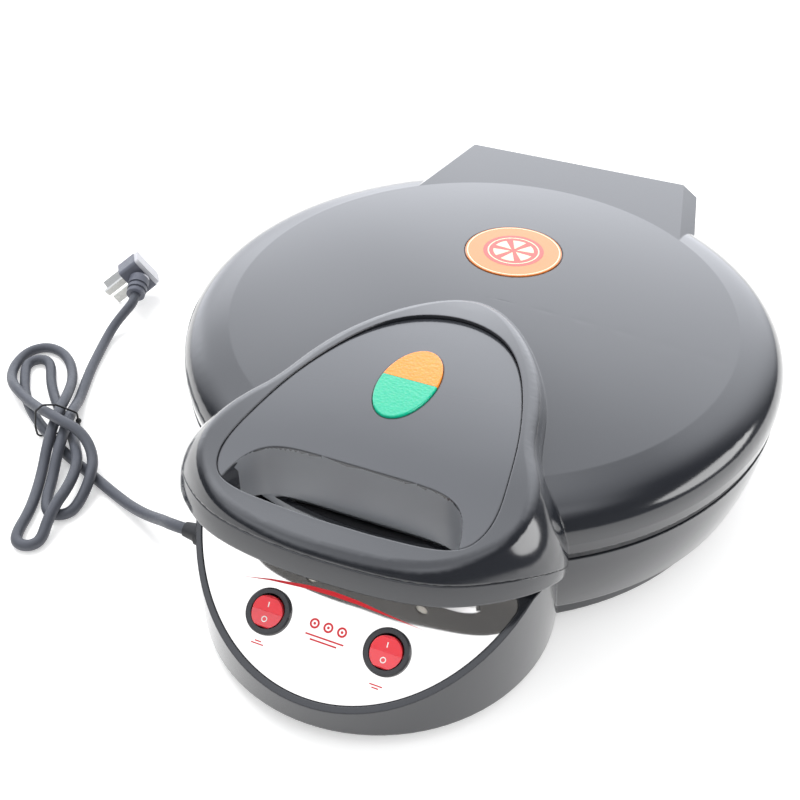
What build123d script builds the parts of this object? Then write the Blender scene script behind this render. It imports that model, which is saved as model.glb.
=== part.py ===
from build123d import *
from math import asin, cos, degrees, pi, radians, sin, tan
import os

os.makedirs("parts", exist_ok=True)

# Frame: origin on the floor under the centre of the round base, front towards -Y, up +Z.

# Base casing
base_radius = 168.5
base_mid_radius = 166.6
base_mid_z = 46.0
base_low_radius = 161.5
base_low_z = 24.0
skirt_radius = 153.0
skirt_top_z = 15.0
base_bottom_z = 8.0
rim_z = 64.5
deck_z = 62.6
wall = 2.6

# Control box: a round drum in front of the base, cut by the sloping control plate
box_radius = 92.5
box_y = -142.5
plate_tilt = 33.0
plate_y = -205.0
plate_z = 40.1
plate_radius = 89.0
plate_rear_y = -168.6
plate_corner = 5.0
plate_thickness = 1.0
plate_frame = 0.4
plate_gap = 0.4

# Rocker switches
rocker_x = 31.2
rocker_v = 0.4
bezel_radius = 11.5
bezel_height = 2.0
bezel_edge = 0.7
mouth_radius = 8.6
mouth_depth = 9.0
switch_radius = 9.9
switch_depth = 17.0
switch_gap = 0.15
button_radius = 7.9
button_swing_radius = 8.3
button_middle = 3.3
button_end = 4.9
button_base = 5.0
pivot_depth = 3.0
rocker_tilt = 8.0
axle_radius = 1.0
axle_length = 18.6
axle_gap = 0.05
blade_width = 4.8
blade_thickness = 0.8
blade_length = 7.0

# Bottom cover, feet and cover screws
cover_thickness = 1.6
cover_gap = 0.6
foot_radius = 9.0
foot_places = [(-78, 116), (78, 116), (0, 0), (-55, -180), (55, -180)]
cover_screw_ring = 146.0
cover_screw_angles = [20, 65, 115, 160, 205, 335]
boss_radius = 5.0
boss_height = 11.0
screw_radius = 1.5
screw_length = 9.0
screw_head_radius = 3.2
screw_head_height = 1.6
screw_play = 0.1
vent_length = 30.0
vent_width = 3.0
vent_pitch = 9.0

# Baking pan and baking plate with their heaters
pan_flange_radius = 164.8
pan_flange_gap = 0.5
pan_hole_radius = 156.6
pan_bead_radius = 153.8
pan_bead_z = 65.0
pan_mouth_radius = 150.0
pan_floor_radius = 145.0
pan_floor_z = 44.0
pan_floor_thickness = 4.0
pan_wall = 3.2
pan_corner = 4.0
plate_face_z = 65.9
baking_plate_radius = 150.6
baking_plate_thickness = 4.2
baking_flange_radius = 156.0
element_ring = 105.0
element_radius = 4.0
element_gap = 0.1
element_half_opening = 17.0
element_bend = 9.0
element_leg = 16.0
shield_radius = 144.0
shield_thickness = 0.8
shield_drop = 11.0
stud_ring = 60.0
stud_radius = 4.0
thread_radius = 2.5
thread_length = 6.0
nut_width = 8.0
nut_height = 4.0
nut_play = 0.05
thermostat_place = (30, 0)
thermostat_radius = 8.0
thermostat_height = 9.0
thermostat_gap = 0.2
fuse_place = (-40, 0)
fuse_radius = 2.0
fuse_length = 14.0
terminal_block_place = (-20, -150)
terminal_block_size = (46, 18, 14)
terminal_pitch = 11.0

# Lid casing
lid_radius = 169.6
lid_widest_z = 76.0
lid_edge_radius = 168.8
lid_edge_z = 69.0
lid_wall = 2.8
crease_radius = 142.8
crease_z = 97.2
dome_z = 104.2
shoulder_slope = 0.24

# Lid ring in the seam
ring_radius = 167.8
ring_inner_radius = 151.2
ring_bottom_z = 65.3
ring_top_z = 67.9
ring_step_inner = 160.0
ring_step_outer = 165.6
ring_step_z = 70.5
ring_screw_ring = 162.8
ring_screw_angles = [-60, -5, 40, 140, 185, 240]
ring_boss_length = 9.4
ring_boss_width = 8.0
ring_boss_height = 8.0
ring_screw_length = 7.0

# Raised handle: half outlines at three heights, from the middle of the front to the middle of the back
handle_low = [
    (0, -213), (38, -210.5), (64, -203), (84, -188), (96.5, -165), (98.5, -150),
    (95, -134), (86, -112), (76, -84), (56, -38), (0, 10),
]
handle_mid = [
    (0, -212), (36, -209.5), (60, -202.5), (79, -188), (91.5, -168), (92.5, -153),
    (85, -134), (76, -120), (68, -90), (48, -42), (0, 1),
]
handle_high = [
    (0, -200), (34, -198), (56, -191.5), (69.5, -180), (76, -165), (76.5, -150),
    (73.5, -131), (69, -112), (61, -86), (41, -46), (0, -20),
]
handle_low_z = 66.0
handle_mid_z = 96.0
handle_high_z = 113.0
handle_edge = 8.0
# Lines drawn in the side view, as (y, z)
handle_top = [
    (60, 88), (30, 97.5), (6, 103.6), (-32, 109.6), (-75, 111.4), (-125, 111.6),
    (-160, 110), (-195, 105.3), (-225, 97),
]
panel_top = [
    (0, 104.5), (-32, 107.4), (-75, 110.2), (-125, 111.0), (-160, 109.6), (-195, 104.9), (-225, 96.6),
]
parting_line = [(-110, 50), (-138, 66.3), (-150, 74), (-165, 84), (-180, 91), (-195, 95), (-230, 98.5)]
band_line = [(-110, 58), (-140, 66.3), (-150, 69), (-165, 76.5), (-180, 81.5), (-195, 84.5), (-230, 87)]
shell_line = 0.3
shell_wall = 2.3
shell_gap = 0.3
handle_floor_z = 74.0
handle_open_z = 88.0
handle_screw_places = [(-80, -168), (80, -168), (-30, -202.5), (30, -202.5)]
handle_screw_seats = [81, 81, 88, 88]
handle_boss_radius = 3.4
shell_boss_radius = 4.6
shell_boss_height = 3.0

# Cover panel, finger opening, lens and badge
panel_outline = [
    (0, -196), (18, -195.7), (36, -194.7), (52, -192.5), (61.5, -188), (66.8, -179), (68.4, -165),
    (66.5, -147), (61.5, -117), (53.5, -88), (43, -63), (25, -41), (0, -32.5),
]
panel_gap = 0.4
panel_thickness = 2.4
panel_seat = 0.1
ledge_width = 4.0
ledge_thickness = 2.0
groove_wall = 2.2
opening_rear = [
    (0, -161.5), (14, -161.5), (28, -161.6), (38, -162.4), (47.5, -165.8), (53.5, -172), (57.3, -181),
    (59.6, -194), (60, -215),
]
skirt_thickness = 2.0
skirt_lift = 1.0
lens_x = -4.0
lens_y = -97.0
lens_half_width = 14.9
lens_half_length = 28.9
lens_split_y = -95.4
lens_rise = 1.2
lens_depth = 4.0
lens_edge = 0.9
lens_gap = 0.25
holder_wall = 1.6
holder_floor_z = 97.0
holder_gap = 0.5
lamp_radius = 3.0
lamp_length = 20.0
lamp_offset = 14.0
badge_y = 53.0
badge_radius = 28.6
badge_gap = 0.7
badge_sink = 1.2
badge_thickness = 1.4

# Hinge block, hinge housing and floating hinge
hinge_y = 173.0
hinge_z = 77.0
block_rear_y = 183.0
block_front_y = 80.0
block_rear_half = 73.0
block_front_half = 92.9
block_flare = 10.0
block_chamfer_z = 90.0
block_strip_z = 73.0
housing_inset = 1.2
housing_top_z = 62.0
leg_x = 58.0
leg_thickness = 2.5
leg_width = 11.0
carrier_bottom_z = 30.0
slot_gap = 0.6
guide_gap = 0.15
guide_width = 12.0
guide_depth = 14.0
guide_height = 14.2
pin_radius = 3.0
pin_gap = 0.05
pin_head_radius = 4.5
pin_head_length = 1.9
clip_radius = 5.0
clip_thickness = 0.8
bracket_x = 54.6
bracket_thickness = 2.5
bracket_flange_z = 86.0
bracket_flange_width = 19.0
bracket_front_y = 150.0
bracket_rear_y = 176.0
bracket_side = [(-23, 9), (-23, 3), (-9, -6.2), (6, -6.2), (6, 9)]
bracket_screw_places = [(45, 156), (45, 169)]
bracket_boss_radius = 4.0
bracket_screw_length = 7.0
rear_slot_half = 3.2
rear_slot_top_z = 86.5

# Cord, gland and plug
cord_radius = 3.25
gland_y = -165.5
gland_z = 31.5
gland_flat_x = -91.5
gland_boss_radius = 8.0
gland_boss_inner_x = -85.0
gland_hole_radius = 5.0
gland_collar_radius = 6.3
gland_collar_length = 3.5
gland_neck_radius = 5.2
gland_end_radius = 4.0
gland_end_x = -103.0
gland_nut_length = 3.5
gland_play = 0.1
body_run_points = [
    (-103.0, -165.5, 31.5), (-111.5, -165.5, 31.5), (-123.5, -157.5, 22.5), (-139.5, -149.5, 12.5),
    (-156.5, -142.0, 6.0), (-171.5, -135.5, 3.5), (-183.75, -130.75, 3.4),
]
hank_points = [
    (-183.75, -130.75, 3.4), (-196.0, -126.0, 3.3), (-219.5, -117.5, 3.6), (-233.0, -111.0, 4.6),
    (-249.5, -102.0, 5.0), (-266.0, -91.0, 4.0), (-280.5, -77.5, 3.3), (-290.5, -64.0, 3.3),
    (-296.5, -55.0, 3.3), (-296.5, -48.8, 3.3), (-292.2, -44.5, 3.3), (-286.2, -44.5, 3.3),
    (-280.0, -50.0, 3.3), (-271.5, -62.0, 3.3), (-260.5, -73.5, 3.3), (-250.0, -83.0, 4.2),
    (-239.5, -91.5, 5.0), (-229.0, -100.0, 5.0), (-219.5, -108.5, 6.6), (-212.5, -116.0, 11.2),
    (-204.5, -125.0, 11.0), (-199.0, -136.5, 11.0), (-195.5, -149.0, 11.0), (-194.0, -161.0, 11.0),
    (-192.5, -172.0, 7.5), (-190.0, -181.5, 3.9), (-192.0, -187.2, 3.3), (-197.5, -189.7, 3.3),
    (-203.0, -188.0, 3.3), (-206.7, -181.0, 3.3), (-210.0, -166.5, 3.3), (-217.0, -149.5, 3.3),
    (-224.5, -133.5, 4.6), (-229.5, -120.5, 10.8), (-234.5, -108.0, 12.8), (-240.2, -94.0, 12.8),
    (-247.5, -74.5, 10.5), (-258.5, -55.5, 4.8), (-271.0, -40.5, 3.3), (-284.5, -32.0, 3.3),
    (-297.0, -31.5, 3.3), (-305.0, -40.0, 3.3), (-305.0, -54.0, 3.4), (-298.0, -68.5, 4.8),
    (-285.0, -81.0, 9.9), (-268.5, -90.5, 12.0), (-251.5, -98.5, 15.2), (-238.0, -104.5, 20.2),
    (-227.0, -107.5, 20.2), (-215.5, -108.5, 19.0), (-205.0, -112.5, 15.0), (-196.5, -120.5, 11.3),
    (-190.5, -131.5, 10.3), (-188.0, -143.5, 6.0), (-187.5, -154.5, 3.3), (-190.0, -159.9, 3.3),
    (-195.3, -162.7, 3.3), (-201.2, -161.8, 3.3), (-207.5, -153.5, 3.3), (-213.5, -139.5, 4.2),
    (-219.0, -125.5, 10.4), (-224.5, -111.5, 12.6), (-230.0, -98.5, 12.7), (-234.3, -88.5, 11.0),
    (-238.5, -80.0, 7.5),
]
plug_run_points = [
    (-238.5, -80.0, 7.5), (-242.7, -71.5, 4.0), (-249.0, -56.5, 3.3), (-255.5, -40.0, 3.3),
    (-260.6, -23.8, 3.3), (-264.5, -9.6, 3.9), (-265.7, 2.5, 7.0), (-263.2, 13.0, 12.0),
    (-260.4, 21.0, 16.3), (-262.7, 27.4, 17.8),
]
tie_centre = (-238, -100)
tie_across = (0.8, 0.6, 0)
tie_outline = [(-12.9, 0.65), (-12.9, 9), (-10.5, 20.5), (-5.5, 24.3), (2, 23), (13, 14.5), (13, 0.65)]
tie_corner = 2.5
tie_radius = 0.6
knot_radius = 1.8
knot_z = 8.0
plug_centre = (-274.3, 47.6, 18.9)
plug_back = (0.62, 0.58, 0.53)
plug_long = (0.499, 0.224, -0.831)
plug_size = (24.0, 17.5, 14.0)
plug_corner = 2.5
plug_cap_height = 3.0
relief_radius = 6.3
relief_root_radius = 7.0
relief_steps = [
    (2.6, 6.4), (2.6, 5.6), (4.2, 5.6), (4.2, 6.6), (6.8, 6.7), (6.8, 5.9), (8.4, 5.9), (8.4, 6.9),
]
relief_length = 15.0
pin_blade = (6.4, 1.5, 16.3)
pin_blade_tilt = 30.0
pin_blade_apart = 6.3
pin_earth_offset = 4.5
pin_live_offset = 5.5


def whole(half):
    """Closed outline from its right half."""
    return half + [(-x, y) for x, y in reversed(half) if x > 0]


def drawn_in(half, amount):
    """Half outline moved inwards, square to the line through its neighbours."""
    ring = whole(half)
    moved = []
    for i, (x, y) in enumerate(half):
        before = Vector(*ring[i - 1])
        after = Vector(*ring[(i + 1) % len(ring)])
        along = (after - before).normalized()
        moved.append((x - along.Y * amount if x > 0 else 0, y + along.X * amount))
    return moved


def smooth_outline(half, height=0.0, grow=0.0):
    """Smooth closed outline at a height, with an even margin added."""
    with BuildSketch(Plane.XY.offset(height)) as outline:
        with BuildLine():
            Spline(*whole(drawn_in(half, -grow)), periodic=True)
        make_face()
    return outline.sketch


def above_line(line, lower=0.0):
    """Everything above a line of the side view, after the line is lowered."""
    points = [(y, z - lower) for y, z in line]
    with BuildPart() as space:
        with BuildSketch(Plane.YZ.offset(-2 * box_radius)):
            with BuildLine():
                Spline(*points)
                Polyline(points[-1], (points[-1][0], 2 * dome_z), (points[0][0], 2 * dome_z), points[0])
            make_face()
        extrude(amount=4 * box_radius)
    return space.part


def cord_radii(points):
    """Bend at each inner point: 0.45 of the shorter run, over the tangent of half the turn."""
    radii = []
    for a, b, c in zip(points, points[1:], points[2:]):
        run_in = Vector(*b) - Vector(*a)
        run_out = Vector(*c) - Vector(*b)
        half_turn = radians(run_in.get_angle(run_out)) / 2
        radii.append(0.45 * min(run_in.length, run_out.length) / tan(half_turn))
    return radii


def cord_tube(points, name):
    """Tube along straight runs joined by tangent arcs."""
    radii = cord_radii(points)
    with BuildPart() as tube:
        with BuildLine() as route:
            FilletPolyline(*points, radius=radii)
        path = route.wires()[0]
        with BuildSketch(Plane(origin=path @ 0, z_dir=path % 0)):
            Circle(cord_radius)
        sweep(path=path)
    expected = path.length * pi * cord_radius**2
    print(name, "length", round(path.length, 1), "volume ratio", round(tube.part.volume / expected, 4))
    print("  radii", [round(r, 1) for r in radii])
    return tube.part, path


def save(piece, name):
    piece.label = name
    export_step(piece, f"parts/{name}.step")


slope = radians(plate_tilt)
plate_plane = Plane(origin=(0, plate_y, plate_z), x_dir=(1, 0, 0), z_dir=(0, -sin(slope), cos(slope)))
deck_under_z = deck_z - wall
pan_bottom_z = pan_floor_z - pan_floor_thickness
plate_back_z = plate_face_z + baking_plate_thickness
cover_top_z = base_bottom_z + cover_thickness
lower_shield_z = pan_bottom_z - shield_drop
upper_shield_z = plate_back_z + shield_drop


# Base casing
def base_section(inset):
    """Half section of the round base, moved in from its outer face."""
    with BuildSketch(Plane.XZ) as section:
        with BuildLine():
            ThreePointArc(
                (base_radius - inset, rim_z),
                (base_mid_radius - inset, base_mid_z),
                (base_low_radius - inset, base_low_z),
            )
            Polyline(
                (base_low_radius - inset, base_low_z),
                (skirt_radius - inset, skirt_top_z),
                (skirt_radius - inset, base_bottom_z),
                (0, base_bottom_z),
                (0, rim_z),
                (base_radius - inset, rim_z),
            )
        make_face()
    return section.sketch


def box_form(inset, lift):
    """Drum of the control box under a face parallel to the control plate."""
    with BuildPart() as box:
        with BuildSketch(Plane.XY.offset(base_bottom_z)):
            with Locations((0, box_y)):
                Circle(box_radius - inset)
        extrude(amount=rim_z - base_bottom_z)
        split(bisect_by=plate_plane.offset(lift), keep=Keep.BOTTOM)
    return box.part


def block_outline(height, grow):
    """Plan of the hinge block at a height."""
    with BuildSketch(Plane.XY.offset(height)) as outline:
        with BuildLine():
            Polyline(
                (-block_front_half - grow, block_front_y),
                (block_front_half + grow, block_front_y),
                (block_rear_half + grow, block_rear_y + min(grow, 0)),
                (-block_rear_half - grow, block_rear_y + min(grow, 0)),
                close=True,
            )
        make_face()
    return outline.sketch


def housing_form(inset, bottom, top):
    """Hinge housing on the base: as wide as the foot of the lid's hinge block."""
    with BuildPart() as housing:
        with BuildSketch(Plane.XY.offset(bottom)):
            with BuildLine():
                Polyline(
                    (-block_front_half - block_flare + inset, block_front_y),
                    (block_front_half + block_flare - inset, block_front_y),
                    (block_rear_half + block_flare - inset, block_rear_y - inset),
                    (-block_rear_half - block_flare + inset, block_rear_y - inset),
                    close=True,
                )
            make_face()
        extrude(amount=top - bottom)
    return housing.part


def plate_outline(grow):
    """Plan of the control plate: a circle cut straight at the back."""
    with BuildSketch() as outline:
        with Locations((0, box_y)):
            Circle(plate_radius)
        with Locations((0, plate_rear_y + plate_radius)):
            Rectangle(4 * plate_radius, 2 * plate_radius, mode=Mode.SUBTRACT)
        corners = outline.vertices().group_by(Axis.Y)[-1]
        fillet(corners, radius=plate_corner)
        if grow:
            offset(amount=grow)
    return outline.sketch


with BuildPart() as base_cavity:
    revolve(base_section(wall), axis=Axis.Z)
    split(bisect_by=Plane.XY.offset(deck_under_z), keep=Keep.BOTTOM)

with BuildPart() as box_cavity:
    add(box_form(wall, -plate_thickness - wall))
    split(bisect_by=Plane.XY.offset(deck_under_z), keep=Keep.BOTTOM)

with BuildPart() as plate_recess:
    extrude(plate_outline(plate_gap), amount=2 * rim_z)
    split(bisect_by=plate_plane.offset(-plate_thickness), keep=Keep.TOP)

housing_bottom_z = base_low_z
housing_under_z = housing_top_z - wall
leg_hole = (leg_thickness + 2 * slot_gap, leg_width + 2 * slot_gap)

with BuildPart() as base_casing:
    revolve(base_section(0), axis=Axis.Z)
    add(box_form(0, plate_frame))
    add(housing_form(housing_inset, housing_bottom_z, housing_top_z))
    with BuildSketch(Plane.YZ.offset(gland_boss_inner_x)):
        with Locations((gland_y, gland_z)):
            Circle(gland_boss_radius)
    extrude(amount=gland_flat_x - gland_boss_inner_x)
    add(base_cavity.part, mode=Mode.SUBTRACT)
    add(box_cavity.part, mode=Mode.SUBTRACT)
    add(housing_form(housing_inset + wall, housing_bottom_z + wall, housing_under_z), mode=Mode.SUBTRACT)
    with BuildSketch(Plane.XY.offset(deck_z)):
        Circle(pan_flange_radius + pan_flange_gap)
    extrude(amount=rim_z, mode=Mode.SUBTRACT)
    with BuildSketch(Plane.XY.offset(deck_under_z - 1)):
        Circle(pan_hole_radius)
    extrude(amount=rim_z, mode=Mode.SUBTRACT)
    add(plate_recess.part, mode=Mode.SUBTRACT)
    # The gland's boss stands through the box wall and is flat on both faces
    with BuildSketch(Plane.YZ.offset(gland_boss_inner_x)):
        with Locations((gland_y, gland_z)):
            Circle(gland_boss_radius)
    extrude(amount=gland_flat_x - gland_boss_inner_x)
    with BuildSketch(Plane.YZ.offset(gland_boss_inner_x + 1)):
        with Locations((gland_y, gland_z)):
            Circle(gland_hole_radius)
    extrude(amount=gland_flat_x - gland_boss_inner_x - 2, mode=Mode.SUBTRACT)
    # Round holes for the two switches, square to the plate
    with BuildSketch(plate_plane):
        with Locations((-rocker_x, rocker_v), (rocker_x, rocker_v)):
            Circle(switch_radius + switch_gap)
    extrude(amount=-2 * wall, mode=Mode.SUBTRACT)
    # Slots for the carrier's legs
    with BuildSketch(Plane.XY.offset(housing_under_z - 1)):
        with Locations((-leg_x, hinge_y), (leg_x, hinge_y)):
            Rectangle(*leg_hole)
    extrude(amount=2 * wall, mode=Mode.SUBTRACT)
    # Bosses for the bottom cover
    with BuildSketch(Plane.XY.offset(cover_top_z)):
        for angle in cover_screw_angles:
            with PolarLocations(cover_screw_ring, 1, start_angle=angle):
                Circle(boss_radius)
    extrude(amount=boss_height)
    with BuildSketch(Plane.XY.offset(cover_top_z)):
        for angle in cover_screw_angles:
            with PolarLocations(cover_screw_ring, 1, start_angle=angle):
                Circle(screw_radius + screw_play)
    extrude(amount=screw_length, mode=Mode.SUBTRACT)
save(base_casing.part, "base_casing")
print("base casing solids", len(base_casing.part.solids()), base_casing.part.is_valid)


# Bottom cover with its feet and screws
with BuildPart() as bottom_cover:
    with BuildSketch(Plane.XY.offset(base_bottom_z)):
        Circle(skirt_radius - wall - cover_gap)
        with Locations((0, box_y)):
            Circle(box_radius - wall - cover_gap)
        for angle in cover_screw_angles:
            with PolarLocations(cover_screw_ring, 1, start_angle=angle):
                Circle(screw_radius + screw_play, mode=Mode.SUBTRACT)
        with GridLocations(vent_length * 1.9, vent_pitch, 2, 7):
            SlotOverall(vent_length, vent_width, mode=Mode.SUBTRACT)
    extrude(amount=cover_thickness)
save(bottom_cover.part, "bottom_cover")

with BuildPart() as rubber_feet:
    with BuildSketch():
        with Locations(*foot_places):
            Circle(foot_radius)
    extrude(amount=base_bottom_z)
    fillet(rubber_feet.faces().group_by(Axis.Z)[0].edges(), radius=1.0)
save(rubber_feet.part, "rubber_feet")

with BuildPart() as bottom_cover_screws:
    with BuildSketch(Plane.XY.offset(base_bottom_z - screw_head_height)):
        for angle in cover_screw_angles:
            with PolarLocations(cover_screw_ring, 1, start_angle=angle):
                Circle(screw_head_radius)
    extrude(amount=screw_head_height)
    with BuildSketch(Plane.XY.offset(base_bottom_z)):
        for angle in cover_screw_angles:
            with PolarLocations(cover_screw_ring, 1, start_angle=angle):
                Circle(screw_radius)
    extrude(amount=screw_length)
save(bottom_cover_screws.part, "bottom_cover_screws")


# Control plate
with BuildPart() as control_plate:
    extrude(plate_outline(0), amount=2 * rim_z)
    split(bisect_by=plate_plane, keep=Keep.BOTTOM)
    split(bisect_by=plate_plane.offset(-plate_thickness), keep=Keep.TOP)
    with BuildSketch(plate_plane):
        with Locations((-rocker_x, rocker_v), (rocker_x, rocker_v)):
            Circle(switch_radius + switch_gap)
    extrude(amount=-2 * plate_thickness, mode=Mode.SUBTRACT)
save(control_plate.part, "control_plate")


# Rocker switches: a round body with its bezel, and a button that tips about a short axle
def pivot_plane(side, tilt):
    """Plane at the button's axle, square to the plate and tipped about the axle."""
    centre = plate_plane.from_local_coords(Vector(side * rocker_x, rocker_v, bezel_height - pivot_depth))
    turn = slope + radians(tilt)
    return Plane(origin=centre, x_dir=(1, 0, 0), z_dir=(0, -sin(turn), cos(turn)))


def side_plane(plane):
    """Plane square to the axle, with the same up direction."""
    return Plane(origin=plane.origin, x_dir=plane.y_dir, z_dir=plane.x_dir)


for side, word in ((-1, "left"), (1, "right")):
    level = pivot_plane(side, 0)
    tipped = pivot_plane(side, rocker_tilt)
    with BuildPart() as switch_body:
        with BuildSketch(plate_plane):
            with Locations((side * rocker_x, rocker_v)):
                Circle(bezel_radius)
        extrude(amount=bezel_height)
        rim_face = switch_body.faces().sort_by(Axis(plate_plane.origin, plate_plane.z_dir))[-1]
        chamfer(rim_face.edges(), length=bezel_edge)
        with BuildSketch(plate_plane):
            with Locations((side * rocker_x, rocker_v)):
                Circle(switch_radius)
        extrude(amount=-switch_depth)
        with BuildSketch(plate_plane.offset(bezel_height)):
            with Locations((side * rocker_x, rocker_v)):
                Circle(mouth_radius)
        extrude(amount=-mouth_depth, mode=Mode.SUBTRACT)
        with BuildSketch(side_plane(level)):
            Circle(axle_radius + axle_gap)
        extrude(amount=axle_length / 2 + axle_gap, both=True, mode=Mode.SUBTRACT)
        with BuildSketch(plate_plane.offset(-switch_depth)):
            with Locations((side * rocker_x, rocker_v - 5), (side * rocker_x, rocker_v + 5)):
                Rectangle(blade_width, blade_thickness)
        extrude(amount=-blade_length)
    save(switch_body.part, f"switch_body_{word}")

    with BuildPart() as rocker_side:
        with BuildSketch(side_plane(tipped)):
            Circle(button_swing_radius)
            with BuildLine():
                Polyline(
                    (-2 * button_radius, -button_base),
                    (2 * button_radius, -button_base),
                    (2 * button_radius, button_end + (button_end - button_middle)),
                    (0, button_middle),
                    (-2 * button_radius, button_end + (button_end - button_middle)),
                    close=True,
                )
            make_face(mode=Mode.INTERSECT)
        extrude(amount=button_radius, both=True)
    with BuildPart() as switch_button:
        with BuildSketch(tipped.offset(-button_base)):
            Circle(button_radius)
        extrude(amount=2 * button_end + button_base)
        add(rocker_side.part, mode=Mode.INTERSECT)
        with BuildSketch(side_plane(tipped)):
            Circle(axle_radius)
        extrude(amount=axle_length / 2, both=True)
    save(switch_button.part, f"switch_button_{word}")
    print("rocker pivot", word, level.origin)


# Lower baking pan with its heater, shield and thermostat
with BuildPart() as lower_baking_pan:
    with BuildSketch(Plane.XZ):
        with BuildLine():
            Polyline(
                (0, pan_bottom_z),
                (pan_floor_radius, pan_bottom_z),
                (pan_floor_radius + pan_wall, pan_floor_z),
                (pan_mouth_radius + pan_wall, deck_z - 1),
                (pan_bead_radius + 0.6, deck_z),
                (pan_flange_radius, deck_z),
                (pan_flange_radius, rim_z),
                (pan_bead_radius + 1, rim_z),
                (pan_bead_radius, pan_bead_z),
                (pan_mouth_radius + 1, pan_bead_z),
                (pan_mouth_radius, pan_bead_z - 1),
                (pan_floor_radius, pan_floor_z),
                (0, pan_floor_z),
                close=True,
            )
        face = make_face()
        inner_corner = face.vertices().sort_by_distance(Vector(pan_floor_radius, 0, pan_floor_z))[0]
        fillet(inner_corner, radius=pan_corner)
    revolve(axis=Axis.Z)
    with BuildSketch(Plane.XY.offset(pan_bottom_z)):
        with PolarLocations(stud_ring, 3, start_angle=90):
            Circle(stud_radius)
    extrude(amount=-shield_drop)
    with BuildSketch(Plane.XY.offset(lower_shield_z)):
        with PolarLocations(stud_ring, 3, start_angle=90):
            Circle(thread_radius)
    extrude(amount=-thread_length)
save(lower_baking_pan.part, "lower_baking_pan")


def heating_element(height, name):
    """Tube bent round, with its two cold ends turned out to the front."""
    gap_angle = degrees(asin(element_half_opening / element_ring))
    with BuildPart() as element:
        with BuildLine(Plane.XY.offset(height)) as route:
            ring = CenterArc((0, 0), element_ring, gap_angle - 90, 360 - 2 * gap_angle)
            first = JernArc(ring @ 0, -(ring % 0), element_bend, 90 - gap_angle)
            last = JernArc(ring @ 1, ring % 1, element_bend, gap_angle - 90)
            PolarLine(first @ 1, element_leg, -90)
            PolarLine(last @ 1, element_leg, -90)
        start = route.line.edges().filter_by(GeomType.LINE).sort_by(Axis.X)[-1]
        end_point = start.vertices().sort_by(Axis.Y)[0].center()
        with BuildSketch(Plane(origin=end_point, z_dir=(0, 1, 0))):
            Circle(element_radius)
        sweep(path=Wire(route.line.edges()))
    save(element.part, name)


def heat_shield(height, name):
    with BuildPart() as shield:
        with BuildSketch(Plane.XY.offset(height)):
            Circle(shield_radius)
            with PolarLocations(stud_ring, 3, start_angle=90):
                Circle(thread_radius + screw_play, mode=Mode.SUBTRACT)
        extrude(amount=shield_thickness)
        lip = shield.faces().sort_by(Axis.Z)[-1].outer_wire().edges()
        chamfer(lip, length=shield_thickness / 3)
    save(shield.part, name)


def shield_nuts(height, name):
    with BuildPart() as nuts:
        with BuildSketch(Plane.XY.offset(height)):
            with PolarLocations(stud_ring, 3, start_angle=90):
                RegularPolygon(nut_width / 2, 6, major_radius=False)
            with PolarLocations(stud_ring, 3, start_angle=90):
                Circle(thread_radius + nut_play, mode=Mode.SUBTRACT)
        extrude(amount=nut_height)
    save(nuts.part, name)


def thermostat(height, name):
    """Round snap-disc thermostat with two blades."""
    with BuildPart() as body:
        with BuildSketch(Plane.XY.offset(height)):
            with Locations(thermostat_place):
                Circle(thermostat_radius)
        extrude(amount=thermostat_height)
        with BuildSketch(Plane.XY.offset(height + thermostat_height / 2)):
            with Locations(thermostat_place):
                Rectangle(2 * thermostat_radius + 2 * blade_length, blade_width)
        extrude(amount=blade_thickness)
    save(body.part, name)


heating_element(pan_bottom_z - element_gap - element_radius, "lower_heating_element")
heat_shield(lower_shield_z - shield_thickness, "lower_heat_shield")
shield_nuts(lower_shield_z - shield_thickness - nut_height, "lower_shield_nuts")
thermostat(pan_bottom_z - thermostat_gap - thermostat_height, "lower_thermostat")


# Terminal block on the bottom cover, with the cord's cores that reach it
with BuildPart() as terminal_block:
    with BuildSketch(Plane.XY.offset(cover_top_z)):
        with Locations(terminal_block_place):
            Rectangle(terminal_block_size[0], terminal_block_size[1])
    extrude(amount=terminal_block_size[2])
    top = terminal_block.faces().sort_by(Axis.Z)[-1]
    chamfer(top.edges(), length=1.0)
    with BuildSketch(Plane.XY.offset(cover_top_z + terminal_block_size[2])):
        with Locations(terminal_block_place):
            with GridLocations(terminal_pitch, 0, 4, 1):
                Circle(2.2)
    extrude(amount=-6, mode=Mode.SUBTRACT)
save(terminal_block.part, "terminal_block")


# Cord gland, its neck tapering towards the cord
with BuildPart() as cord_gland:
    with BuildSketch(Plane.XY.offset(gland_z)):
        with BuildLine():
            Polyline(
                (gland_boss_inner_x + gland_nut_length, gland_y),
                (gland_boss_inner_x + gland_nut_length, gland_y + gland_collar_radius),
                (gland_boss_inner_x, gland_y + gland_collar_radius),
                (gland_boss_inner_x, gland_y + gland_hole_radius - gland_play),
                (gland_flat_x, gland_y + gland_hole_radius - gland_play),
                (gland_flat_x, gland_y + gland_collar_radius),
                (gland_flat_x - gland_collar_length, gland_y + gland_collar_radius),
                (gland_flat_x - gland_collar_length, gland_y + gland_neck_radius),
                (gland_end_x, gland_y + gland_end_radius),
                (gland_end_x, gland_y),
                close=True,
            )
        make_face()
    revolve(axis=Axis((0, gland_y, gland_z), (1, 0, 0)))
save(cord_gland.part, "cord_gland")


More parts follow.
